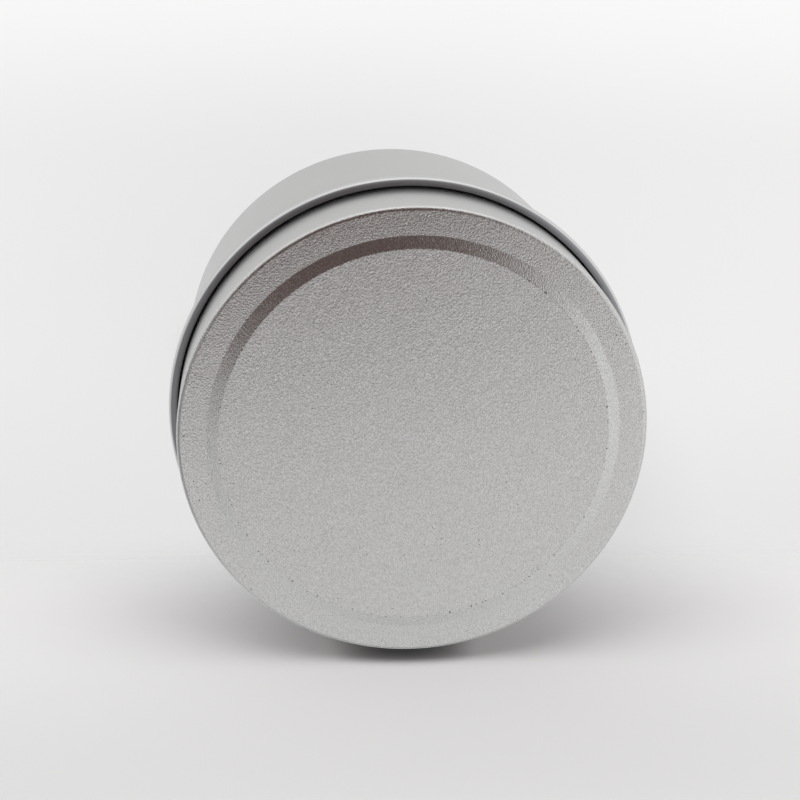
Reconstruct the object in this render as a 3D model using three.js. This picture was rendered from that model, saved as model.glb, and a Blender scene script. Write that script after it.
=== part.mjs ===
// A poured candle in a round slip-lid tin, standing upright on its base.
// Units are millimetres and +Z is up. The origin is the centre of the foot ring, on the
// surface the tin stands on, and every piece is turned about the Z axis.
//
// Pieces: the seamless drawn body, the slip lid, the poured wax, the braided wick, the metal
// tab that the wick is crimped in, and the adhesive disc that holds the tab to the floor.

import * as THREE from "three";

// ---- Sheet metal ----
const SHEET = 0.3; // thickness of the tinplate, body and lid alike

// ---- Body ----
const BODY_DIAMETER = 76; // outside of the straight wall
const BODY_HEIGHT = 52.8; // standing surface to the top of the rolled rim
const BASE_BEND = 1.6; // outside radius where the wall turns into the foot ring
const FOOT_WIDTH = 2.2; // flat ring that the tin stands on
const BASE_RECESS = 0.9; // how far the floor panel is pressed up above the foot ring
const BASE_STEP = 1.3; // radial run of the step between foot ring and floor panel
const RIM_CURL = 1.9; // outside diameter of the rim, which is rolled inwards
const RIM_CURL_TURN = 270; // degrees that the rim's sheet is rolled through

// ---- Lid ----
const LID_CLEARANCE = 0.2; // radial gap between the body's wall and the lid's skirt
const LID_SEAT = 0.3; // gap between the body's rim and the underside of the lid
const LID_SKIRT = 15.6; // edge of the top to the bottom of the rolled hem
const LID_CORNER = 0.85; // outside radius between the top and the skirt
const LID_BORDER = 3.9; // border between the corner's bend and the foot of the raised panel
const LID_BORDER_FALL = 0.1; // how far the border slopes down towards the corner
const PANEL_STEP = 1.95; // radial run of the slope up to the raised panel
const PANEL_RISE = 0.6; // height of the raised panel above the border's inner edge
const HEM_CURL = 2.07; // outside diameter of the hem, which is rolled outwards
const HEM_CURL_TURN = 300; // degrees that the hem's sheet is rolled through

// ---- Bends that both pressings share ----
const STEP_BEND = 0.6; // radius at the two edges of a pressed step, on the sheet's middle

// ---- Candle ----
const HEADSPACE = 10.5; // top of the rim down to the wax
const WAX_MARGIN = 0.25; // gap between the wax and everything that it is poured round
const WAX_MENISCUS = 0.7; // how far the wax creeps up the wall
const MENISCUS_RUN = 2.4; // radial width of that creep
const WICK_DIAMETER = 2.4;
const WICK_EXPOSED = 6; // trimmed length above the wax
const TAB_DIAMETER = 20;
const TAB_SHEET = 0.3;
const TAB_LIP = 0.5; // height of the dished edge of the tab
const TAB_NECK = 6; // height of the neck above the tab's plate
const TAB_GRIP = 0.05; // gap between the neck and the wick
const STICKER_DIAMETER = 18;
const STICKER_THICKNESS = 1;
const SEAT_GAP = 0.05; // gap that stacked pieces keep

// ---- Fineness of the turned shapes ----
const TURN_STEPS = 72; // sides of a full turn, for the tin and the wax
const SMALL_TURN_STEPS = 36; // sides of a full turn, for the wick and its tab
const BEND_STEP = 22.5; // degrees between the points of a bend
const CURL_STEP = 30; // degrees between the points of a rolled edge

const degrees = THREE.MathUtils.degToRad;
const point = (radius, height) => new THREE.Vector2(radius, height);

// The points of an arc round a centre, from one angle to another, both ends included.
function arc(centre, radius, from, to, step) {
  const count = Math.max(1, Math.ceil(Math.abs(to - from) / step));
  return Array.from({ length: count + 1 }, (_, i) => {
    const angle = degrees(from + ((to - from) * i) / count);
    return point(centre.x + radius * Math.cos(angle), centre.y + radius * Math.sin(angle));
  });
}

// A line through corners, each of them rounded to its own radius. A corner is [point, radius].
function roundedLine(corners) {
  const line = [corners[0][0]];
  for (let i = 1; i < corners.length - 1; i++) {
    const [corner, radius] = corners[i];
    const back = corners[i - 1][0].clone().sub(corner).normalize();
    const ahead = corners[i + 1][0].clone().sub(corner).normalize();
    const half = Math.acos(THREE.MathUtils.clamp(back.dot(ahead), -1, 1)) / 2;
    const middle = back.clone().add(ahead).normalize();
    const centre = corner.clone().addScaledVector(middle, radius / Math.sin(half));
    const start = corner.clone().addScaledVector(back, radius / Math.tan(half)).sub(centre);
    const turn = 180 - THREE.MathUtils.radToDeg(2 * half);
    const side = Math.sign(back.cross(ahead));
    const from = THREE.MathUtils.radToDeg(start.angle());
    line.push(...arc(centre, radius, from, from - side * turn, BEND_STEP));
  }
  line.push(corners[corners.length - 1][0]);
  return line;
}

// The closed outline of a sheet that follows a line: out along one side and back on the other.
function thicken(line, thickness) {
  const sides = [-1, 1].map((side) =>
    line.map((here, i) => {
      const before = line[Math.max(i - 1, 0)];
      const after = line[Math.min(i + 1, line.length - 1)];
      const into = here.clone().sub(i > 0 ? before : here).normalize();
      const out = (i < line.length - 1 ? after : here).clone().sub(here).normalize();
      const along = into.clone().add(out).normalize();
      const stretch = i > 0 && i < line.length - 1 ? Math.sqrt((1 + into.dot(out)) / 2) : 1;
      const normal = point(-along.y, along.x).multiplyScalar((side * thickness) / 2 / stretch);
      return here.clone().add(normal);
    }),
  );
  return [...sides[0], ...sides[1].reverse()];
}

// A piece turned about +Z from its outline, which runs from axis to axis or closes on itself.
// Both kinds run anticlockwise, with the radius to the right and the height up.
function turned(name, outline, steps, material) {
  const closed = outline[0].x > 0 ? [...outline, outline[0]] : outline;
  const geometry = new THREE.LatheGeometry(closed, steps);
  geometry.rotateX(Math.PI / 2);
  const mesh = new THREE.Mesh(geometry, material);
  mesh.name = name;
  return mesh;
}

// ---- Materials ----
const frosted = { color: 0xb9b8b6, roughness: 0.42, metalness: 1 };
const lidTin = new THREE.MeshStandardMaterial({ ...frosted });
const bodyTin = new THREE.MeshStandardMaterial({ ...frosted, roughness: 0.36 });
const soyWax = new THREE.MeshStandardMaterial({ color: 0xf1e9d6, roughness: 0.5, metalness: 0 });
const cotton = new THREE.MeshStandardMaterial({ color: 0xede6d6, roughness: 0.85, metalness: 0 });
const tabSteel = new THREE.MeshStandardMaterial({ color: 0xb4b4b0, roughness: 0.3, metalness: 1 });
const foam = new THREE.MeshStandardMaterial({ color: 0xf4f4f2, roughness: 0.9, metalness: 0 });

// ---- Sizes that follow from the driving ones ----
const half = SHEET / 2;
const bodyRadius = BODY_DIAMETER / 2;
const wallMiddle = bodyRadius - half;
const wallInside = bodyRadius - SHEET;
const footOuter = bodyRadius - BASE_BEND;
const footInner = footOuter - FOOT_WIDTH;
const floorRadius = footInner - BASE_STEP;
const floorTop = BASE_RECESS + SHEET;
const waxTop = BODY_HEIGHT - HEADSPACE;
const stickerBottom = floorTop + SEAT_GAP;
const stickerTop = stickerBottom + STICKER_THICKNESS;
const tabBottom = stickerTop + SEAT_GAP;
const wickRadius = WICK_DIAMETER / 2;
const wickBottom = tabBottom;
const wickTop = waxTop + WICK_EXPOSED;
const neckInside = wickRadius + TAB_GRIP;
const neckOutside = neckInside + TAB_SHEET;
const neckTop = tabBottom + TAB_SHEET + TAB_NECK;

// The drawn body: floor panel, foot ring, straight wall and a rim rolled inwards.
function tinBody() {
  const curlRadius = RIM_CURL / 2 - half;
  const curlCentre = point(wallMiddle - curlRadius, BODY_HEIGHT - RIM_CURL / 2);
  const line = roundedLine([
    [point(0, BASE_RECESS + half), 0],
    [point(floorRadius, BASE_RECESS + half), STEP_BEND],
    [point(footInner, half), STEP_BEND],
    [point(wallMiddle, half), BASE_BEND - half],
    [point(wallMiddle, curlCentre.y), 0],
  ]);
  line.pop(); // the rolled rim starts on that last point
  line.push(...arc(curlCentre, curlRadius, 0, RIM_CURL_TURN, CURL_STEP));
  return turned("tin_body", thicken(line, SHEET), TURN_STEPS, bodyTin);
}

// The slip lid: raised panel, sloping border, skirt and a hem rolled outwards.
function slipLid() {
  const skirtInside = bodyRadius + LID_CLEARANCE;
  const skirtMiddle = skirtInside + half;
  const skirtOutside = skirtInside + SHEET;
  const borderInner = skirtOutside - LID_CORNER - LID_BORDER;
  const edgeMiddle = BODY_HEIGHT + LID_SEAT + half;
  const borderMiddle = edgeMiddle + LID_BORDER_FALL;
  const panelMiddle = borderMiddle + PANEL_RISE;
  const curlRadius = HEM_CURL / 2 - half;
  const hemBottom = edgeMiddle + half - LID_SKIRT;
  const curlCentre = point(skirtMiddle + curlRadius, hemBottom + HEM_CURL / 2);
  const line = roundedLine([
    [point(0, panelMiddle), 0],
    [point(borderInner - PANEL_STEP, panelMiddle), STEP_BEND],
    [point(borderInner, borderMiddle), STEP_BEND],
    [point(skirtMiddle, edgeMiddle), LID_CORNER - half],
    [point(skirtMiddle, curlCentre.y), 0],
  ]);
  line.pop(); // the rolled hem starts on that last point
  line.push(...arc(curlCentre, curlRadius, 180, 180 + HEM_CURL_TURN, CURL_STEP));
  return turned("lid", thicken(line, SHEET), TURN_STEPS, lidTin);
}

// The wax: poured round the wick, its tab and the sticker, and over the floor's step.
function waxFill() {
  const edge = wallInside - WAX_MARGIN;
  const bottom = floorTop + WAX_MARGIN;
  const chamfer = BASE_BEND;
  const wickHole = wickRadius + WAX_MARGIN;
  const neckHole = neckOutside + WAX_MARGIN;
  const plateHole = Math.max(TAB_DIAMETER, STICKER_DIAMETER) / 2 + WAX_MARGIN;
  const plateTop = tabBottom + TAB_SHEET + TAB_LIP + WAX_MARGIN;
  const meniscus = arc(point(edge - MENISCUS_RUN, waxTop + MENISCUS_RUN), MENISCUS_RUN, 270, 360, 30);
  const creep = meniscus.map((p) => point(p.x, waxTop + ((p.y - waxTop) * WAX_MENISCUS) / MENISCUS_RUN));
  const outline = [
    point(plateHole, bottom),
    point(edge - chamfer, bottom),
    point(edge, bottom + chamfer),
    ...creep.reverse(),
    point(wickHole, waxTop),
    point(wickHole, neckTop + WAX_MARGIN),
    point(neckHole, neckTop + WAX_MARGIN),
    point(neckHole, plateTop),
    point(plateHole, plateTop),
  ];
  return turned("wax", outline, TURN_STEPS, soyWax);
}

// The braided wick, from the tab's plate to its trimmed end.
function wick() {
  const outline = [
    point(0, wickBottom),
    point(wickRadius, wickBottom),
    point(wickRadius, wickTop),
    point(0, wickTop),
  ];
  return turned("wick", outline, SMALL_TURN_STEPS, cotton);
}

// The tab: a plate with a dished edge and a neck that is crimped on the wick.
function wickTab() {
  const edge = TAB_DIAMETER / 2;
  const plateTop = tabBottom + TAB_SHEET;
  const outline = [
    point(neckInside, tabBottom),
    point(edge - TAB_SHEET - TAB_LIP, tabBottom),
    point(edge, tabBottom + TAB_LIP),
    point(edge - TAB_SHEET, tabBottom + TAB_LIP + TAB_SHEET),
    point(edge - TAB_SHEET - TAB_LIP, plateTop),
    point(neckOutside + TAB_SHEET, plateTop),
    point(neckOutside, plateTop + TAB_SHEET),
    point(neckOutside, neckTop),
    point(neckInside, neckTop),
  ];
  return turned("wick_tab", outline, SMALL_TURN_STEPS, tabSteel);
}

// The adhesive disc between the tab and the tin's floor.
function wickSticker() {
  const outline = [
    point(0, stickerBottom),
    point(STICKER_DIAMETER / 2, stickerBottom),
    point(STICKER_DIAMETER / 2, stickerTop),
    point(0, stickerTop),
  ];
  return turned("wick_sticker", outline, SMALL_TURN_STEPS, foam);
}

const candleTin = new THREE.Group();
candleTin.add(tinBody(), slipLid(), waxFill(), wick(), wickTab(), wickSticker());

export default candleTin;
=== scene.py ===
import math

import bmesh
import bpy
from bpy.props import FloatProperty, FloatVectorProperty, IntProperty, PointerProperty
from mathutils import Matrix, Vector


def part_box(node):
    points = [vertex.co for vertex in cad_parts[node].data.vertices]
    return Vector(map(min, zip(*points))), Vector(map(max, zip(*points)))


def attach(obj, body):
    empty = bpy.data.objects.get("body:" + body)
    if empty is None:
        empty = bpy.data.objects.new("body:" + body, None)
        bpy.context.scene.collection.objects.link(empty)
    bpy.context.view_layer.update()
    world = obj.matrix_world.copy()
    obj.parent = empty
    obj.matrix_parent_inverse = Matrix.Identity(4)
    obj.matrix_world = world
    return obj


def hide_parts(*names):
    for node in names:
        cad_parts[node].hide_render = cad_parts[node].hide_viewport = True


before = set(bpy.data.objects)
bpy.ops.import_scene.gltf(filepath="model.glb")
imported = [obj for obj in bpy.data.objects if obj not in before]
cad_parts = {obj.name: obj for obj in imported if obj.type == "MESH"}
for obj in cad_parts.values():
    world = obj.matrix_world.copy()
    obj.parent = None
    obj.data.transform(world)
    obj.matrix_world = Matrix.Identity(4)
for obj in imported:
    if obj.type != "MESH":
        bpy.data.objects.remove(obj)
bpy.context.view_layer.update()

bl_info = {
    "name": "Candle Tin",
    "version": (1, 0, 0),
    "blender": (4, 5, 0),
    "location": "View3D > Sidebar > Candle Tin",
    "description": "Builds a slip-lid candle tin with its wax and wick, and a pale studio for it",
    "category": "Add Mesh",
}

MM = 0.001
BODY_LOW, BODY_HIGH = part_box("tin_body")
LID_LOW, LID_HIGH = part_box("lid")
WAX_LOW, WAX_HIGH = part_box("wax")
WICK_LOW, WICK_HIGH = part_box("wick")
TAB_LOW, TAB_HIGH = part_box("wick_tab")
STICKER_LOW, STICKER_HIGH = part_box("wick_sticker")


# ---- Sizes and colours that a user would change ----


def length(name, description, millimetres):
    """A size property, given in millimetres and kept in metres."""
    return FloatProperty(
        name=name, description=description, default=millimetres * MM,
        min=0, precision=5, unit="LENGTH",
    )


def angle(name, description, degrees):
    """An angle property, given in degrees and kept in radians."""
    return FloatProperty(
        name=name, description=description, default=math.radians(degrees), subtype="ANGLE",
    )


def colour(name, description, red, green, blue):
    """A colour property in scene-linear values."""
    return FloatVectorProperty(
        name=name, description=description, default=(red, green, blue),
        size=3, min=0, max=1, subtype="COLOR",
    )


class TinSizes(bpy.types.PropertyGroup):
    sheet: length("Sheet", "Thickness of the tinplate", 0.3)
    bend: length("Step bend", "Radius at the edges of a pressed step, on the sheet's middle", 0.6)
    panel_rise: length("Panel rise", "Height of the lid's raised panel above its border", 0.6)
    panel_step: length("Panel step", "Radial run of the slope up to the raised panel", 1.95)
    border: length("Border", "From the foot of the slope to the bend of the corner", 3.9)
    border_fall: length("Border fall", "How far the border slopes down to the corner", 0.1)
    lid_corner: length("Lid corner", "Outside radius between the lid's top and its skirt", 0.85)
    hem_curl: length("Hem curl", "Outside diameter of the lid's rolled hem", 2.07)
    hem_turn: angle("Hem turn", "How far the hem is rolled", 292)
    rim_curl: length("Rim curl", "Outside diameter of the body's rolled rim", 1.9)
    rim_turn: angle("Rim turn", "How far the rim is rolled", 280)
    base_bend: length("Base bend", "Outside radius between the wall and the foot ring", 1.6)
    foot_width: length("Foot width", "Width of the flat ring that the tin stands on", 2.2)
    base_recess: length("Base recess", "Height of the floor panel above the foot ring", 0.9)
    base_step: length("Base step", "Radial run of the step up to the floor panel", 1.3)
    turn_steps: IntProperty(
        name="Turn steps", description="Sides of a full turn of the tin", default=288, min=24,
    )


class CandleSizes(bpy.types.PropertyGroup):
    clearance: length("Clearance", "Gap between the wax and the pieces set into it", 0.25)
    neck_hole: length("Neck hole", "Radius of the hole in the wax for the tab's neck", 1.8)
    plate_room: length("Plate room", "Height of the hollow in the wax for the tab's plate", 1.05)
    wax_chamfer: length("Wax chamfer", "Chamfer at the foot of the wax", 1.6)
    creep: length("Creep", "How far the wax climbs the wall above its own level", 0.7)
    sag: length("Sag", "How far the wax has sunk between the wall and the wick", 0.12)
    strand: length("Strand", "Radius of one strand of the wick", 0.52)
    plait_width: length("Plait width", "How far a strand swings to the side", 0.60)
    plait_depth: length("Plait depth", "How far a strand swings to the front", 0.40)
    lay: length("Lay", "Height over which the plait repeats", 5.2)
    tab_sheet: length("Tab sheet", "Thickness of the tab's steel", 0.3)
    tab_lip: length("Tab lip", "Height of the turned-up edge of the tab", 0.5)
    pinch: length("Pinch", "How far the edge of the foam is drawn in", 0.12)


class TinFinish(bpy.types.PropertyGroup):
    tinplate: colour("Tinplate", "Colour of the satin tinplate", 0.60, 0.597, 0.592)
    # Darker tone laid on the tops of the rolled edges.
    hem: colour("Hem", "Colour of the worn metal on the rolled edges", 0.36, 0.367, 0.38)
    grime: colour("Grime", "Colour of the specks pressed into the finish", 0.10, 0.085, 0.075)
    roughness: FloatProperty(
        name="Roughness", description="Roughness of the frosted top", default=0.22, min=0, max=1,
    )
    grain: length("Grain", "Size of one grain of the frosted top", 0.24)
    grain_depth: length("Grain depth", "Depth of the grain of the frosted top", 0.063)
    wax: colour("Wax", "Colour of the poured wax", 0.90, 0.85, 0.71)
    cotton: colour("Cotton", "Colour of the braided wick", 0.83, 0.78, 0.66)
    # Pale tone used for the painted highlight on the lid's hem and for polish on the body's foot.
    rubbed: colour("Rubbed", "Colour of the edge where handling has polished it", 0.95, 0.955, 0.97)
    steel: colour("Steel", "Colour of the wick's tab", 0.60, 0.60, 0.59)
    foam: colour("Foam", "Colour of the adhesive disc", 0.86, 0.86, 0.84)


class StudioSettings(bpy.types.PropertyGroup):
    paper: colour("Paper", "Colour of the floor and of the card behind the tin", 0.86, 0.86, 0.86)
    walls: colour("Walls", "Light that comes from all round the studio", 0.93, 0.93, 0.93)
    softbox: colour("Softbox", "Light from the softbox in front of the tin", 1.0, 1.0, 1.0)
    dark_side: colour("Dark side", "Colour of the unlit part of the studio", 0.125, 0.088, 0.080)
    front_light: FloatProperty(name="Front light", description="Strength for all", default=1.7)
    key_light: FloatProperty(name="Key light", description="Strength on the floor", default=1.8)
    card_width: length("Card width", "Width of the card behind the tin", 440)
    card_height: length("Card height", "Height of the card behind the tin", 200)
    azimuth: angle("Azimuth", "Camera's place round the tin, from the front", 16.28)
    elevation: angle("Elevation", "Camera's height above the horizon", 70.26)
    roll: angle("Roll", "Turn about the line of sight; the tin is seen lying down", 164.63)
    distance: length("Distance", "From the camera to the point that it aims at", 258.6)
    aim_right: length("Aim X", "Point aimed at, to the side of the tin's axis", 2.55)
    aim_front: length("Aim Y", "Point aimed at, in front of the tin's axis", 6.39)
    lens: FloatProperty(name="Lens", description="Focal length in millimetres", default=72)


# ---- Modelling ----


def line_mesh(points):
    """A mesh that holds one line through (radius, height) points, and the line's corners."""
    bm = bmesh.new()
    corners = [bm.verts.new((radius, 0, height)) for radius, height in points]
    for start, end in zip(corners, corners[1:]):
        bm.edges.new((start, end))
    return bm, corners


def round_corner(bm, corner, radius, segments):
    """Rounds one corner of a line to a radius."""
    ways = [(edge.other_vert(corner).co - corner.co).normalized() for edge in corner.link_edges]
    half_angle = ways[0].angle(ways[1]) / 2
    bmesh.ops.bevel(
        bm, geom=[corner], affect="VERTICES", offset=radius / math.tan(half_angle),
        offset_type="OFFSET", segments=segments, profile=0.5, material=-1, clamp_overlap=False,
    )


def roll_edge(bm, end, centre, turn, steps):
    """Continues a line from its end along a circle, anticlockwise about centre (radius, height)."""
    bmesh.ops.spin(
        bm, geom=[end], cent=(centre[0], 0, centre[1]), axis=(0, -1, 0), angle=turn, steps=steps,
        use_merge=False, use_duplicate=False,
    )


def turn_about_axis(bm, steps):
    """Turns everything in the mesh into a shape of revolution about Z, with its pole closed."""
    bmesh.ops.spin(
        bm, geom=bm.verts[:] + bm.edges[:], cent=(0, 0, 0), axis=(0, 0, 1), angle=2 * math.pi,
        steps=steps, use_merge=True, use_duplicate=False,
    )
    bmesh.ops.remove_doubles(bm, verts=bm.verts[:], dist=1e-6)
    bmesh.ops.recalc_face_normals(bm, faces=bm.faces[:])


def finished(bm, name, material, sharp_angle=math.radians(40)):
    """Makes the mesh an object in the scene, smooth but for its sharp edges."""
    for face in bm.faces:
        face.smooth = True
    for edge in bm.edges:
        edge.smooth = edge.calc_face_angle(math.pi) < sharp_angle
    mesh = bpy.data.meshes.new(name)
    bm.to_mesh(mesh)
    bm.free()
    mesh.materials.append(material)
    piece = bpy.data.objects.new(name, mesh)
    bpy.context.scene.collection.objects.link(piece)
    return piece


def give_thickness(piece, thickness):
    """Turns a sheet's middle surface into a solid sheet."""
    solidify = piece.modifiers.new("Sheet", "SOLIDIFY")
    solidify.thickness = thickness
    solidify.offset = 0
    solidify.use_even_offset = True
    solidify.use_quality_normals = True


def stands_for(piece, body, node):
    """Lets a piece ride on its body in place of a node, which it hides."""
    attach(piece, body)
    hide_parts(node)


# ---- Shading ----


class Value:
    """A socket that sums can be written with. Each sum adds a Math node."""

    def __init__(self, shader, socket):
        self.shader = shader
        self.socket = socket

    def sum(self, operation, first, second=0.0):
        node = self.shader.node("ShaderNodeMath", {"operation": operation}, {0: first, 1: second})
        return Value(self.shader, node.outputs[0])

    def __add__(self, other):
        return self.sum("ADD", self, other)

    def __radd__(self, other):
        return self.sum("ADD", other, self)

    def __sub__(self, other):
        return self.sum("SUBTRACT", self, other)

    def __rsub__(self, other):
        return self.sum("SUBTRACT", other, self)

    def __mul__(self, other):
        return self.sum("MULTIPLY", self, other)

    def __rmul__(self, other):
        return self.sum("MULTIPLY", other, self)

    def __pow__(self, other):
        return self.sum("POWER", self, other)

    def root(self):
        return self.sum("SQRT", self)

    def angle_with(self, other):
        return self.sum("ARCTAN2", self, other)

    def fade(self, start, end):
        """0 before start, 1 after end, and smooth between them."""
        low, high, first, last = (start, end, 0, 1) if start < end else (end, start, 1, 0)
        node = self.shader.node(
            "ShaderNodeMapRange", {"interpolation_type": "SMOOTHSTEP"},
            {"Value": self, "From Min": low, "From Max": high, "To Min": first, "To Max": last},
        )
        return Value(self.shader, node.outputs["Result"])

    def band(self, low, high, softness):
        """1 between low and high, and 0 outside."""
        return self.fade(low - softness, low) * self.fade(high + softness, high)


class Shader:
    """The nodes of one material or of the world."""

    def __init__(self, owner):
        owner.use_nodes = True
        self.owner = owner
        self.tree = owner.node_tree
        self.tree.nodes.clear()

    def node(self, kind, settings, values):
        """Adds a node, sets it up, and then fills or links its sockets."""
        made = self.tree.nodes.new(kind)
        for key, value in settings.items():
            setattr(made, key, value)
        for key, value in values.items():
            socket = made.inputs[key]
            if isinstance(value, Value):
                value = value.socket
            if isinstance(value, bpy.types.NodeSocket):
                self.tree.links.new(value, socket)
            else:
                socket.default_value = value
        return made

    def place(self):
        """The point on the piece, in metres."""
        return self.node("ShaderNodeTexCoord", {}, {}).outputs["Object"]

    def parts(self, vector):
        """The three numbers of a vector."""
        node = self.node("ShaderNodeSeparateXYZ", {}, {"Vector": vector})
        return [Value(self, socket) for socket in node.outputs]

    def vector(self, x, y, z):
        return self.node("ShaderNodeCombineXYZ", {}, {"X": x, "Y": y, "Z": z}).outputs[0]

    def noise(self, where, size, detail=2.0, rough=0.5):
        """Cloudy noise from 0 to 1 with features of a size in metres."""
        node = self.node(
            "ShaderNodeTexNoise", {},
            {"Vector": where, "Scale": 1 / size, "Detail": detail, "Roughness": rough},
        )
        return Value(self, node.outputs["Fac"])

    def mix(self, mask, first, second):
        """first where the mask is 0 and second where it is 1, for colours."""
        node = self.node(
            "ShaderNodeMix", {"data_type": "RGBA"}, {0: mask, 6: first, 7: second},
        )
        return node.outputs[2]

    def bump(self, height, distance, normal=None):
        values = {"Height": height, "Distance": distance, "Strength": 1.0}
        if normal is not None:
            values["Normal"] = normal
        return self.node("ShaderNodeBump", {}, values).outputs["Normal"]

    def surface(self, values):
        """Ends a material in a Principled BSDF."""
        bsdf = self.node("ShaderNodeBsdfPrincipled", {}, values)
        self.node("ShaderNodeOutputMaterial", {}, {"Surface": bsdf.outputs["BSDF"]})
        return self.owner


def tint(shade, strength=1.0):
    """A colour at a share of its strength, with the alpha that a socket needs."""
    return (*(part * strength for part in shade), 1.0)


def new_shader(name):
    return Shader(bpy.data.materials.new(name))


def tinplate(name, settings, **masks):
    """Satin tinplate. Masks of (radius, z) tell where it is frosted, where its tone is darker, where
    a pale tone stands for polish and painted highlight, and where it is specked.
    """
    shader = new_shader(name)
    where = shader.place()
    x, y, z = shader.parts(where)
    radius = (x * x + y * y).root()
    top = masks["frosted"](radius, z)
    hem = masks["worn"](radius, z)
    rub = masks["rubbed"](radius, z)
    crease = masks["specked"](radius, z)

    # The grain is a little longer from front to back, because light from there combs it sideways.
    blasted = shader.vector(x * 1.3, y * 0.77, z)
    coarse = shader.noise(blasted, settings.grain, 1.5, 0.55)
    fine = shader.noise(blasted, settings.grain * 0.45, 1.0, 0.5)
    cloud = shader.noise(where, 14 * MM, 3.0, 0.55)
    pits = shader.noise(where, 0.4 * MM, 0.0).fade(0.83, 0.86)
    crease_dirt = crease * shader.noise(where, 0.45 * MM, 2.0, 0.7).fade(0.57, 0.68)

    turn = y.angle_with(x)
    crimps = shader.noise(shader.vector(turn * 40, radius * 300, z * 300), 1.0, 2.0, 0.6)
    drawn = shader.noise(shader.vector(turn * 90, z * 40, radius * 40), 1.0, 2.0, 0.5)

    dirt = (pits * top * 0.7 + crease_dirt * 0.8).fade(0.0, 1.0)
    speckle = 0.23 + top * 0.34 + (coarse + fine - 1) * (0.1 + top * 1.05)
    plate = shader.mix(speckle, tint(settings.tinplate, 0.7), tint(settings.tinplate, 1.3))
    # Darker tone on the tops of the rolled edges.
    metal = shader.mix(hem * (0.85 + crimps * 0.3), plate, tint(settings.hem))
    # Pale tone: a painted highlight on the lid's hem, and polish on the body's foot.
    metal = shader.mix(rub, metal, tint(settings.rubbed))
    tone = shader.mix(dirt, metal, tint(settings.grime))
    rough = settings.roughness + (1 - top) * 0.04 + (cloud - 0.5) * 0.05
    rough = rough + hem * 0.25 + dirt * 0.3 + rub * 0.2

    frost = (coarse * 0.75 + fine * 0.25) * top
    skin = (drawn * 0.02 + fine * 0.03) * (1 - top) + crimps * hem * 0.35
    waves = shader.bump(cloud, 0.05 * MM)
    normal = shader.bump(frost + skin, settings.grain_depth, waves)
    return shader.surface({
        "Base Color": tone, "Metallic": 1.0, "Roughness": rough, "Normal": normal,
    })


# ---- Pieces ----


class CANDLETIN_OT_lid(bpy.types.Operator):
    """Turn the slip lid: raised panel, sloping border, skirt and rolled hem"""

    bl_idname = "candletin.lid"
    bl_label = "Lid"

    def execute(self, context):
        sizes = context.scene.tin_sizes
        half = sizes.sheet / 2
        curl = sizes.hem_curl / 2 - half
        skirt = LID_HIGH.x - sizes.hem_curl + half
        panel = LID_HIGH.z - half
        border = panel - sizes.panel_rise
        edge = border - sizes.border_fall
        border_inner = skirt + half - sizes.lid_corner - sizes.border
        curl_height = LID_LOW.z + sizes.hem_curl / 2
        bm, corners = line_mesh([
            (0, panel),
            (border_inner - sizes.panel_step, panel),
            (border_inner, border),
            (skirt, edge),
            (skirt, curl_height),
        ])
        round_corner(bm, corners[1], sizes.bend, 6)
        round_corner(bm, corners[2], sizes.bend, 6)
        round_corner(bm, corners[3], sizes.lid_corner - half, 14)
        roll_edge(bm, corners[4], (skirt + curl, curl_height), sizes.hem_turn, 40)
        turn_about_axis(bm, sizes.turn_steps)
        lid = finished(bm, "lid_shell", self.material(context, border_inner, edge))
        give_thickness(lid, sizes.sheet)
        stands_for(lid, "lid", "lid")
        return {"FINISHED"}

    def material(self, context, border_inner, edge):
        sizes = context.scene.tin_sizes
        step_top = border_inner - sizes.panel_step
        hem_top = LID_LOW.z + sizes.hem_curl + 0.1 * MM
        hem_middle = LID_LOW.z + sizes.hem_curl / 2
        hem_shoulder = hem_middle + 0.87 * MM
        speck_reach = 0.1 * MM

        def painted_highlight(z):
            """How strong the painted highlight on the hem's outside is: most at its shoulder."""
            return 0.10 + 0.30 * z.fade(hem_middle + 0.3 * MM, hem_middle + 0.6 * MM)

        return tinplate(
            "satin tinplate, lid", context.scene.tin_finish,
            frosted=lambda radius, z: z.fade(edge - 0.65 * MM, edge - 0.15 * MM),
            worn=lambda radius, z: z.band(hem_shoulder, hem_top, 0.12 * MM),
            # Painted highlight on the hem's outside, below its shoulder.
            rubbed=lambda radius, z: z.fade(hem_shoulder, hem_shoulder - 0.16 * MM) * painted_highlight(z),
            specked=lambda radius, z: radius.band(
                step_top - speck_reach, step_top + speck_reach, 0.25 * MM,
            ),
        )


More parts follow.
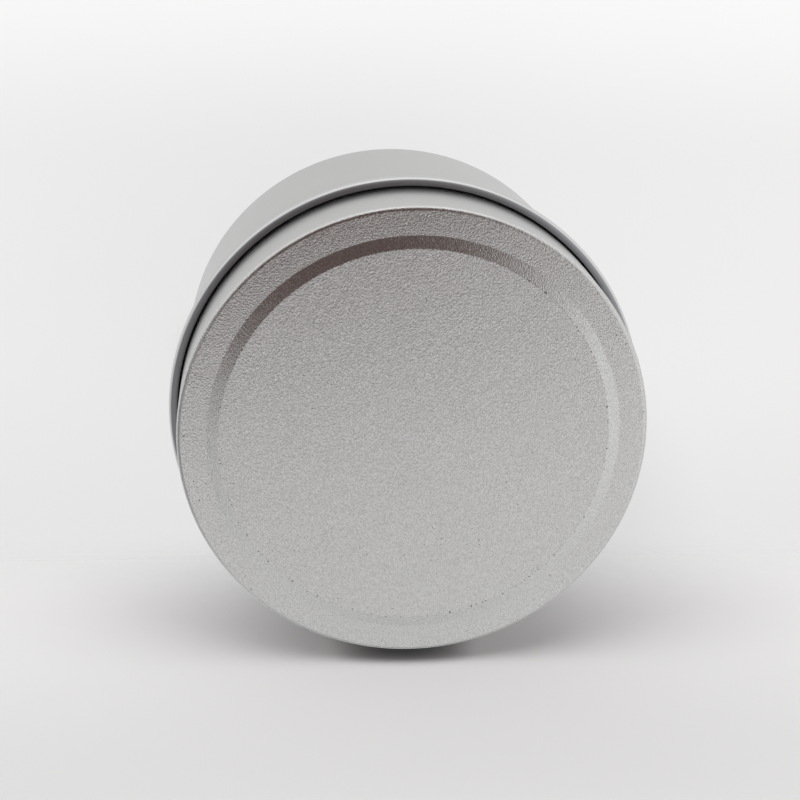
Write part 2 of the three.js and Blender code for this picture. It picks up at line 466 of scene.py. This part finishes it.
class CANDLETIN_OT_body(bpy.types.Operator):
    """Turn the drawn body: floor panel, foot ring, wall and rolled rim"""

    bl_idname = "candletin.body"
    bl_label = "Body"

    def execute(self, context):
        sizes = context.scene.tin_sizes
        half = sizes.sheet / 2
        wall = BODY_HIGH.x - half
        curl = sizes.rim_curl / 2 - half
        curl_height = BODY_HIGH.z - sizes.rim_curl / 2
        foot_inner = BODY_HIGH.x - sizes.base_bend - sizes.foot_width
        bm, corners = line_mesh([
            (0, sizes.base_recess + half),
            (foot_inner - sizes.base_step, sizes.base_recess + half),
            (foot_inner, half),
            (wall, half),
            (wall, curl_height),
        ])
        round_corner(bm, corners[1], sizes.bend, 6)
        round_corner(bm, corners[2], sizes.bend, 6)
        round_corner(bm, corners[3], sizes.base_bend - half, 14)
        roll_edge(bm, corners[4], (wall - curl, curl_height), sizes.rim_turn, 36)
        turn_about_axis(bm, sizes.turn_steps)
        body = finished(bm, "body_shell", self.material(context, foot_inner))
        give_thickness(body, sizes.sheet)
        stands_for(body, "tin", "tin_body")
        return {"FINISHED"}

    def material(self, context, foot_inner):
        sizes = context.scene.tin_sizes
        panel = foot_inner - sizes.base_step

        def low(z):
            """1 at the base, to keep the base's finish off the rest of the body."""
            return z.fade(4 * MM, 3 * MM)

        return tinplate(
            "satin tinplate, body", context.scene.tin_finish,
            frosted=lambda radius, z: radius.fade(panel + 0.5 * MM, panel) * low(z),
            worn=lambda radius, z: z.fade(BODY_HIGH.z - 2 * MM, BODY_HIGH.z - 1.8 * MM) * 0.4,
            rubbed=lambda radius, z: z.fade(0.25 * MM, 0.05 * MM) * 0.5,
            specked=lambda radius, z: radius.band(panel, panel + 0.2 * MM, 0.3 * MM) * low(z),
        )


class CANDLETIN_OT_wax(bpy.types.Operator):
    """Pour the wax round the wick, with its creep up the wall and the wick"""

    bl_idname = "candletin.wax"
    bl_label = "Wax"

    def execute(self, context):
        sizes = context.scene.candle_sizes
        wick_hole = WICK_HIGH.x + sizes.clearance
        pocket = TAB_HIGH.x + sizes.clearance
        pocket_top = TAB_LOW.z + sizes.plate_room
        neck_top = TAB_HIGH.z + sizes.clearance
        edge = WAX_HIGH.x
        level = WAX_HIGH.z - sizes.creep
        crest, climb, shore = 0.25 * MM, 0.9 * MM, 2.4 * MM
        basin, collar_foot, collar = 9 * MM, 1.6 * MM, 0.35 * MM
        bm, corners = line_mesh([
            (pocket, WAX_LOW.z),
            (edge - sizes.wax_chamfer, WAX_LOW.z),
            (edge, WAX_LOW.z + sizes.wax_chamfer),
            (edge, WAX_HIGH.z),
            (edge - crest, WAX_HIGH.z),
            (edge - climb, level + sizes.sag),
            (edge - shore, level),
            (wick_hole + basin, level - sizes.sag),
            (wick_hole + collar_foot, level - 0.05 * MM),
            (wick_hole + collar, level + collar),
            (wick_hole, level + collar - 0.05 * MM),
            (wick_hole, neck_top),
            (sizes.neck_hole, neck_top),
            (sizes.neck_hole, pocket_top),
            (pocket, pocket_top),
        ])
        bm.edges.new((corners[-1], corners[0]))
        for corner, radius in ((1, 1.2), (2, 1.2), (5, 1.2), (6, 2.0), (8, 1.5), (9, 0.15)):
            round_corner(bm, corners[corner], radius * MM, 5)
        turn_about_axis(bm, 144)
        wax = finished(bm, "wax_pour", self.material(context, level))
        stands_for(wax, "tin", "wax")
        return {"FINISHED"}

    def material(self, context, level):
        shader = new_shader("poured wax")
        where = shader.place()
        z = shader.parts(where)[2]
        cloud = shader.noise(where, 9 * MM, 4.0, 0.6)
        frosting = shader.noise(where, 1.6 * MM, 5.0, 0.65)
        bubbles = shader.noise(where, 1.1 * MM, 0.0).fade(0.76, 0.80)
        top = z.fade(level - 1 * MM, level - 0.3 * MM)
        wax = context.scene.tin_finish.wax
        tone = shader.mix(cloud.fade(0.35, 0.7), tint(wax), tint(wax, 1.06))
        height = cloud * 0.8 + frosting * 0.25 - bubbles * top * 0.5
        return shader.surface({
            "Base Color": tone,
            "Roughness": 0.38 + frosting * 0.18,
            "Subsurface Weight": 0.35,
            "Subsurface Radius": (1.0, 0.8, 0.5),
            "Subsurface Scale": 2.5 * MM,
            "Normal": shader.bump(height, 0.12 * MM),
        })


class CANDLETIN_OT_wick(bpy.types.Operator):
    """Braid the wick from three cotton strands"""

    bl_idname = "candletin.wick"
    bl_label = "Wick"

    def execute(self, context):
        bm = bmesh.new()
        for lead in range(3):
            self.lay_strand(bm, context.scene.candle_sizes, lead * 2 * math.pi / 3)
        bmesh.ops.recalc_face_normals(bm, faces=bm.faces[:])
        wick = finished(bm, "wick_braid", self.material(context))
        stands_for(wick, "tin", "wick")
        return {"FINISHED"}

    def lay_strand(self, bm, sizes, lead):
        """Sweeps one strand of the plait from the bottom to the trimmed top."""
        steps = 150
        rise = (WICK_HIGH.z - WICK_LOW.z) / steps
        route = [self.route(sizes, WICK_LOW.z + rise * step, lead) for step in range(steps + 1)]
        made = bmesh.ops.create_circle(bm, cap_ends=True, segments=12, radius=sizes.strand)
        ring = made["verts"]
        face = ring[0].link_faces[0]
        bmesh.ops.translate(bm, verts=ring, vec=route[0])
        for here, after in zip(route, route[1:]):
            extruded = bmesh.ops.extrude_discrete_faces(bm, faces=[face])
            face = extruded["faces"][0]
            bmesh.ops.translate(bm, verts=face.verts[:], vec=after - here)

    def route(self, sizes, height, lead):
        """The middle of a strand at a height. The strands pass over each other in turn."""
        turn = 2 * math.pi * height / sizes.lay + lead
        across = sizes.plait_width * math.sin(turn)
        forward = sizes.plait_depth * math.sin(2 * turn)
        return Vector((across, forward, height))

    def material(self, context):
        shader = new_shader("waxed cotton")
        where = shader.place()
        x, y, z = shader.parts(where)
        fibres = shader.noise(shader.vector(x * 3, y * 3, z), 0.25 * MM, 3.0, 0.6)
        cotton = context.scene.tin_finish.cotton
        return shader.surface({
            "Base Color": shader.mix(fibres.fade(0.3, 0.75), tint(cotton, 0.85), tint(cotton)),
            "Roughness": 0.6 + fibres * 0.25,
            "Sheen Weight": 0.3,
            "Normal": shader.bump(fibres, 0.08 * MM),
        })


class CANDLETIN_OT_tab(bpy.types.Operator):
    """Press the wick's tab: a dished plate with a crimped neck"""

    bl_idname = "candletin.tab"
    bl_label = "Wick tab"

    def execute(self, context):
        sizes = context.scene.candle_sizes
        half = sizes.tab_sheet / 2
        neck = WICK_HIGH.x + 0.05 * MM + half
        plate = TAB_LOW.z + half
        rim = TAB_HIGH.x - half
        bm, corners = line_mesh([
            (neck, TAB_HIGH.z),
            (neck, plate),
            (rim - sizes.tab_lip - sizes.tab_sheet, plate),
            (rim, plate + sizes.tab_lip),
        ])
        round_corner(bm, corners[1], 0.3 * MM, 5)
        round_corner(bm, corners[2], 0.5 * MM, 5)
        turn_about_axis(bm, 96)
        tab = finished(bm, "tab_pressing", self.material(context))
        give_thickness(tab, sizes.tab_sheet)
        stands_for(tab, "tin", "wick_tab")
        return {"FINISHED"}

    def material(self, context):
        shader = new_shader("bright steel")
        steel = context.scene.tin_finish.steel
        where = shader.place()
        cloud = shader.noise(where, 3 * MM, 3.0, 0.5)
        grain = shader.noise(where, 0.2 * MM, 2.0, 0.5)
        return shader.surface({
            "Base Color": shader.mix(cloud, tint(steel, 0.94), tint(steel, 1.06)),
            "Metallic": 1.0,
            "Roughness": 0.22 + cloud * 0.14,
            "Normal": shader.bump(grain, 0.004 * MM),
        })


class CANDLETIN_OT_sticker(bpy.types.Operator):
    """Cut the adhesive disc that holds the tab to the floor"""

    bl_idname = "candletin.sticker"
    bl_label = "Wick sticker"

    def execute(self, context):
        low, high, rim = STICKER_LOW.z, STICKER_HIGH.z, STICKER_HIGH.x
        bm, corners = line_mesh([
            (0, low),
            (rim, low),
            (rim - context.scene.candle_sizes.pinch, (low + high) / 2),
            (rim, high),
            (0, high),
        ])
        round_corner(bm, corners[2], 0.6 * MM, 6)
        turn_about_axis(bm, 96)
        sticker = finished(bm, "sticker_disc", self.material(context))
        stands_for(sticker, "tin", "wick_sticker")
        return {"FINISHED"}

    def material(self, context):
        shader = new_shader("adhesive foam")
        where = shader.place()
        cells = shader.noise(where, 0.3 * MM, 2.0, 0.6)
        foam = context.scene.tin_finish.foam
        return shader.surface({
            "Base Color": shader.mix(cells.fade(0.3, 0.7), tint(foam, 0.9), tint(foam)),
            "Roughness": 0.85,
            "Normal": shader.bump(cells, 0.1 * MM),
        })


class CANDLETIN_OT_studio(bpy.types.Operator):
    """Set up the floor, the card that the tin lies against, the lights and the camera"""

    bl_idname = "candletin.studio"
    bl_label = "Studio"

    def execute(self, context):
        settings = context.scene.studio
        context.scene.view_settings.view_transform = "Standard"
        floor = self.lay_floor(settings)
        self.stand_card(context, settings)
        self.light_world(context, settings)
        self.hang_lights(context, settings, floor)
        self.set_camera(context, settings)
        return {"FINISHED"}

    def lay_floor(self, settings):
        """A wide pale floor under the standing tin. Most of its light is its own, and soft."""
        shader = new_shader("floor paper")
        where = shader.place()
        x, y, z = shader.parts(where)
        mottle = shader.noise(where, 60 * MM, 3.0, 0.5)
        paper = settings.paper
        # Painted light and shade on the floor: a little dimmer from the tin back towards the card, a
        # painted pool of light in front of the tin, and a painted falloff into shade far behind it.
        glow = shader.mix(y.fade(0, 50 * MM), tint(paper, 0.65), tint(paper, 0.585))
        glow = shader.mix(y.fade(-34 * MM, -72 * MM), glow, tint(paper, 0.77))
        glow = shader.mix(y.fade(60 * MM, 160 * MM), glow, tint(paper, 0.36))
        black = tint(paper, 0)
        material = shader.surface({
            "Base Color": shader.mix(mottle, tint(paper, 0.34), tint(paper, 0.36)),
            "Roughness": 0.8,
            "Specular IOR Level": 0.0,
            "Emission Color": shader.mix(self.contact(x, y), glow, black),
            "Emission Strength": 1.0,
        })
        bm = bmesh.new()
        bmesh.ops.create_grid(bm, x_segments=8, y_segments=8, size=3.0)
        floor = finished(bm, "studio_floor", material)
        floor.visible_shadow = False
        return floor

    def contact(self, x, y):
        """The shade close round the foot of the tin, on the side away from the softbox."""
        foot = BODY_HIGH.x
        radius = (x * x + y * y).root()
        near = radius.fade(foot + 6 * MM, foot - 1.5 * MM) ** 2
        return near * y.fade(-8 * MM, 14 * MM) * 0.8

    def stand_card(self, context, settings):
        """A pale card that touches the tin's hem and base, as the surface it lies on does."""
        sizes = context.scene.tin_sizes
        hem_height = LID_LOW.z + sizes.hem_curl / 2
        lean = math.asin((LID_HIGH.y - BODY_HIGH.y) / (hem_height - sizes.base_bend))
        foot = BODY_HIGH.y - 0.1 * MM
        half_width, half_height = settings.card_width / 2, settings.card_height / 2
        bm = bmesh.new()
        bmesh.ops.create_grid(bm, x_segments=8, y_segments=8, size=1.0)
        bmesh.ops.scale(bm, vec=(half_width, half_height, 1), verts=bm.verts[:])
        bmesh.ops.translate(bm, vec=(0, half_height, 0), verts=bm.verts[:])
        upright = Matrix.Rotation(math.pi / 2 - lean, 3, "X")
        bmesh.ops.rotate(bm, cent=(0, 0, 0), matrix=upright, verts=bm.verts[:])
        bmesh.ops.translate(bm, vec=(0, foot, 0), verts=bm.verts[:])
        card = finished(bm, "studio_card", self.card_material(settings))
        card.visible_diffuse = False
        card.visible_glossy = False
        card.visible_transmission = False
        card.visible_shadow = False

    def card_material(self, settings):
        """Pale on the tin's side only, darker where the tin is close as a painted contact shadow, and
        fading out at its edges.
        """
        shader = new_shader("card paper")
        x, y, z = shader.parts(shader.place())
        above = z - 45 * MM
        reach = (x * x + above * above).root()
        near = reach.fade(200 * MM, 130 * MM) * z.fade(0, 40 * MM)
        back = Value(shader, shader.node("ShaderNodeNewGeometry", {}, {}).outputs["Backfacing"])
        open_sky = Value(shader, shader.node(
            "ShaderNodeAmbientOcclusion", {"samples": 16}, {"Distance": 5 * MM},
        ).outputs["AO"])
        # Painted light: a paler band low on the card, near the floor.
        lifted = z.fade(90 * MM, 28 * MM) * z.fade(0, 28 * MM)
        lit = shader.mix(lifted, tint(settings.paper, 0.88), tint(settings.paper))
        # Painted shadow: the card turns dark where the tin closes in round it.
        tone = shader.mix(open_sky.fade(0.13, 0.8), tint(settings.paper, 0.09), lit)
        paper = shader.node("ShaderNodeBsdfDiffuse", {}, {"Color": tone, "Roughness": 1.0})
        clear = shader.node("ShaderNodeBsdfTransparent", {}, {})
        both = shader.node(
            "ShaderNodeMixShader", {},
            {0: near * (1 - back), 1: clear.outputs[0], 2: paper.outputs[0]},
        )
        shader.node("ShaderNodeOutputMaterial", {}, {"Surface": both.outputs[0]})
        return shader.owner

    def light_world(self, context, settings):
        """Pale all round, with the softbox and the dimmer stretches that the bright metal shows."""
        world = bpy.data.worlds.new("studio")
        context.scene.world = world
        shader = Shader(world)
        where = shader.parts(shader.node("ShaderNodeTexCoord", {}, {}).outputs["Generated"])
        haze = self.patch(where, (0.0, 1.0, -0.05), 30, 78)
        beam = self.patch(where, (-0.05, 0.62, 0.78), 6, 20)
        behind = self.patch(where, (0.0, 1.0, -0.05), 4, 32)
        beside = self.patch(where, (0.90, 0.25, 0.32), 10, 44)
        softbox = self.patch(where, (-0.06, -0.99, 0.06), 12, 40)
        overhead = self.patch(where, (0.11, -0.36, 0.90), 31.3, 43.5)
        tone = shader.mix(haze, tint(settings.walls), tint(settings.walls, 0.82))
        tone = shader.mix(beam, tone, tint(settings.walls, 0.77))
        tone = shader.mix(behind, tone, tint(settings.walls, 0.3))
        tone = shader.mix(beside, tone, tint(settings.walls, 0.3))
        tone = shader.mix(softbox, tone, tint(settings.softbox, 1.25))
        tone = shader.mix(overhead, tone, tint(settings.dark_side))
        background = shader.node("ShaderNodeBackground", {}, {"Color": tone, "Strength": 1.0})
        shader.node("ShaderNodeOutputWorld", {}, {"Surface": background.outputs[0]})

    def patch(self, where, way, inner, outer):
        """1 round a direction of the studio, up to inner degrees, and 0 beyond outer degrees."""
        centre = Vector(way).normalized()
        nearness = where[0] * centre.x + where[1] * centre.y + where[2] * centre.z
        return nearness.fade(math.cos(math.radians(outer)), math.cos(math.radians(inner)))

    def hang_lights(self, context, settings, floor):
        """Two wide soft lights that only matt surfaces show: one for all, one for the floor."""
        self.sun(context, "front_light", settings.front_light, 80, (-0.22, 1.0, 0.08))
        key = self.sun(context, "key_light", settings.key_light, 25, (-0.25, 0.72, -0.65))
        floor_only = bpy.data.collections.new("lit by the key light")
        floor_only.objects.link(floor)
        key.light_linking.receiver_collection = floor_only

    def sun(self, context, name, strength, spread, way):
        light = bpy.data.lights.new(name, "SUN")
        light.energy = strength
        light.angle = math.radians(spread)
        lamp = bpy.data.objects.new(name, light)
        lamp.rotation_mode = "QUATERNION"
        lamp.rotation_quaternion = Vector(way).to_track_quat("-Z", "Y")
        lamp.visible_glossy = False
        context.scene.collection.objects.link(lamp)
        return lamp

    def set_camera(self, context, settings):
        """The camera looks down at the lid, turned so that the card is at the bottom."""
        sizes = context.scene.tin_sizes
        lid_edge = LID_HIGH.z - sizes.panel_rise - sizes.border_fall
        aim = Vector((settings.aim_right, -settings.aim_front, lid_edge - 0.75 * MM))
        level = math.cos(settings.elevation)
        back = Vector((
            math.sin(settings.azimuth) * level,
            -math.cos(settings.azimuth) * level,
            math.sin(settings.elevation),
        ))
        data = bpy.data.cameras.new("camera")
        data.lens = settings.lens
        data.sensor_width = 36
        data.clip_start, data.clip_end = 0.01, 20
        camera = bpy.data.objects.new("camera", data)
        camera.rotation_mode = "QUATERNION"
        turn = (-back).to_track_quat("-Z", "Y").to_matrix().to_4x4()
        turn = turn @ Matrix.Rotation(settings.roll, 4, "Z")
        camera.rotation_quaternion = turn.to_quaternion()
        camera.location = aim + back * settings.distance
        context.scene.collection.objects.link(camera)
        context.scene.camera = camera


class CANDLETIN_PT_panel(bpy.types.Panel):
    """Candle tin tools"""

    bl_idname = "CANDLETIN_PT_panel"
    bl_label = "Candle Tin"
    bl_space_type = "VIEW_3D"
    bl_region_type = "UI"
    bl_category = "Candle Tin"

    def draw(self, context):
        layout = self.layout
        scene = context.scene
        for group in (scene.tin_sizes, scene.candle_sizes, scene.tin_finish, scene.studio):
            box = layout.box()
            for name in group.__annotations__:
                box.prop(group, name)
        for operator in OPERATORS:
            layout.operator(operator.bl_idname)


OPERATORS = (
    CANDLETIN_OT_body,
    CANDLETIN_OT_lid,
    CANDLETIN_OT_wax,
    CANDLETIN_OT_wick,
    CANDLETIN_OT_tab,
    CANDLETIN_OT_sticker,
    CANDLETIN_OT_studio,
)
CLASSES = (
    TinSizes, CandleSizes, TinFinish, StudioSettings, *OPERATORS, CANDLETIN_PT_panel,
)


def register():
    for each in CLASSES:
        bpy.utils.register_class(each)
    bpy.types.Scene.tin_sizes = PointerProperty(type=TinSizes)
    bpy.types.Scene.candle_sizes = PointerProperty(type=CandleSizes)
    bpy.types.Scene.tin_finish = PointerProperty(type=TinFinish)
    bpy.types.Scene.studio = PointerProperty(type=StudioSettings)


def unregister():
    del bpy.types.Scene.studio
    del bpy.types.Scene.tin_finish
    del bpy.types.Scene.candle_sizes
    del bpy.types.Scene.tin_sizes
    for each in reversed(CLASSES):
        bpy.utils.unregister_class(each)


def main():
    register()
    bpy.ops.candletin.body()
    bpy.ops.candletin.lid()
    bpy.ops.candletin.wax()
    bpy.ops.candletin.wick()
    bpy.ops.candletin.tab()
    bpy.ops.candletin.sticker()
    bpy.ops.candletin.studio()


if __name__ == "__main__":
    main()
